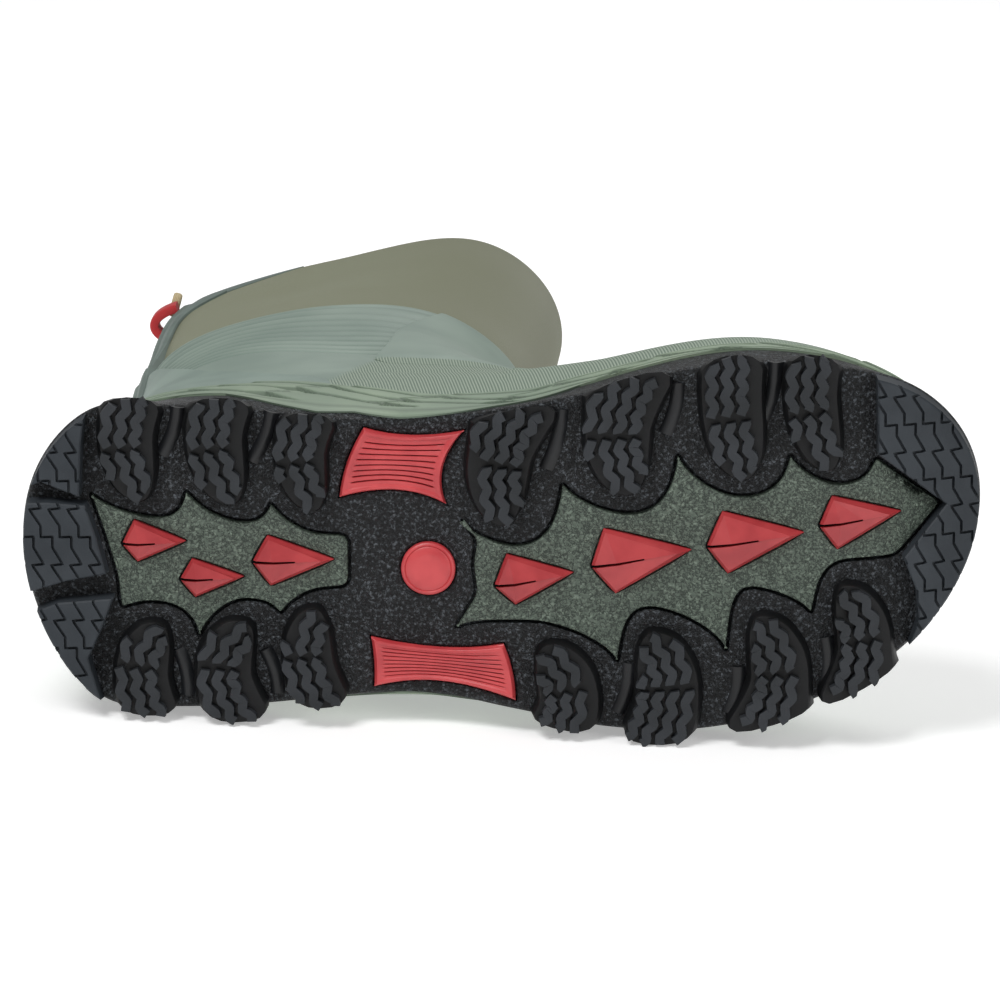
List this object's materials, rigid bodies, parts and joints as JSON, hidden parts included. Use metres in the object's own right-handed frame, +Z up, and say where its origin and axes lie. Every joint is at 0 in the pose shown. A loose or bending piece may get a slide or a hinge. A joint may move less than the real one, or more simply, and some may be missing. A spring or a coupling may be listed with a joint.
{
  "type": "rubber boot",
  "caption": "Knee-high rubber field boot for the left foot, with a lugged black sole, green rubber foot and slack olive textile shaft, lying on its outer side.",
  "frame": {"origin": "on the floor, under the middle of the boot as it lies on its outer side", "axes": "+X towards the toe, +Y from the tread to the collar, +Z up, which is the boot's inner side"},
  "size_m": [0.3162, 0.4476, 0.1349],
  "materials": {
    "black_rubber": "pebbled black tread rubber",
    "panel_rubber": "pebbled dark green rubber",
    "red_rubber": "smooth red rubber",
    "foxing_rubber": "ribbed green side rubber",
    "upper_rubber": "grey green rubber, textured on the foot and ribbed at the ankle",
    "overlay_rubber": "smooth grey green rubber",
    "shaft_textile": "olive woven textile over foam",
    "red_webbing": "red webbing",
    "sand_tape": "sand coloured tape",
    "insole_foam": "dark textile on foam"
  },
  "bodies": {
    "root": {"outsole": "black_rubber", "heel_panel": "panel_rubber", "forefoot_panel": "panel_rubber", "heel_stud_1": "red_rubber", "heel_stud_2": "red_rubber", "heel_stud_3": "red_rubber", "forefoot_stud_1": "red_rubber", "forefoot_stud_2": "red_rubber", "forefoot_stud_3": "red_rubber", "forefoot_stud_4": "red_rubber", "waist_insert_inner": "red_rubber", "waist_insert_outer": "red_rubber", "waist_disc": "red_rubber", "foxing": "foxing_rubber", "upper": "upper_rubber", "shaft": "shaft_textile", "heel_counter": "overlay_rubber", "instep_guard": "overlay_rubber", "backstay": "overlay_rubber", "collar_binding": "overlay_rubber", "pull_strap": "red_webbing", "strap_tip": "sand_tape", "insole": "insole_foam"}
  },
  "joints": []
}
